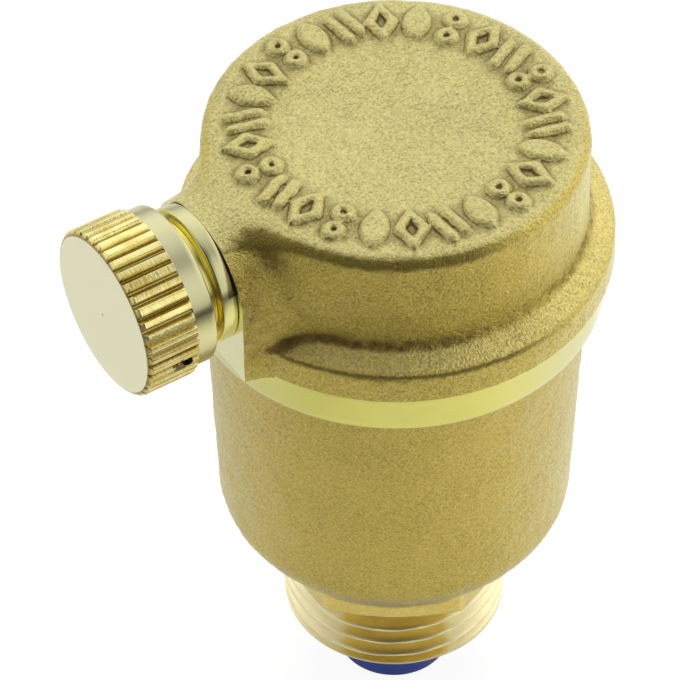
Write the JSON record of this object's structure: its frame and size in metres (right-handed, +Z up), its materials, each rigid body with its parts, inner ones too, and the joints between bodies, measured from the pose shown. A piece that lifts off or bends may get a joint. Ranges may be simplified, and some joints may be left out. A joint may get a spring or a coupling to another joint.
{
  "type": "automatic air vent",
  "caption": "Brass float-type automatic air vent: threaded inlet below, screwed cover with raised cast marks, knurled cap on a side outlet.",
  "frame": {"origin": "centre of the end face of the male inlet thread", "axes": "+Z up along the float and inlet axis, the vent outlet and its knurled cap point along -X"},
  "size_m": [0.0494, 0.039, 0.0695],
  "materials": {
    "cast_brass_body": "forged and blasted, matte, with a turned collar and thread",
    "cast_brass_cover": "forged and blasted, matte, with machined boss face",
    "turned_brass": "turned, bright",
    "knurled_brass": "knurled rim, turned face",
    "stainless": "stamped stainless, satin",
    "black_rubber": "matte moulded",
    "silicone": "soft matte",
    "blue_plastic": "moulded, satin"
  },
  "bodies": {
    "root": {"body": "cast_brass_body", "cover": "cast_brass_cover", "cover_o_ring": "black_rubber", "vent_nozzle": "turned_brass", "nozzle_o_ring": "black_rubber", "valve_seat": "stainless", "lever_bracket": "stainless", "bracket_screws": "stainless", "bracket_washers": "stainless", "lever_pin": "stainless", "pin_clips": "stainless"},
    "float": {"float_shell": "blue_plastic", "float_lid": "blue_plastic", "float_hook": "stainless"},
    "lever": {"lever": "stainless", "seal_holder": "turned_brass", "holder_rivet": "stainless", "valve_pad": "silicone"},
    "cap_seal": {"cap_seal": "black_rubber"},
    "cap": {"vent_cap": "knurled_brass"}
  },
  "joints": [
    {"name": "float_travel", "type": "slide", "parent": "root", "child": "float", "axis": [0, 0, 1], "range_m": [0, 0.00275]},
    {"name": "lever_swing", "type": "hinge", "parent": "root", "child": "lever", "pos_m": [-0.01028, 0, 0.0494], "axis": [0, -1, 0], "range_deg": [0, 15.3]},
    {"name": "cap_travel", "type": "slide", "parent": "root", "child": "cap_seal", "axis": [-1, 0, 0], "range_m": [0, 0.00305]},
    {"name": "cap_turn", "type": "hinge", "parent": "cap_seal", "child": "cap", "pos_m": [-0.0265, 0, 0.0539], "axis": [-1, 0, 0], "range_deg": [0, 1080]}
  ],
  "couplings": [
    {"joint": "lever_swing", "follows": "float_travel", "rad_per_m": 96.7},
    {"joint": "cap_travel", "follows": "cap_turn", "m_per_rad": 0.00015915}
  ]
}
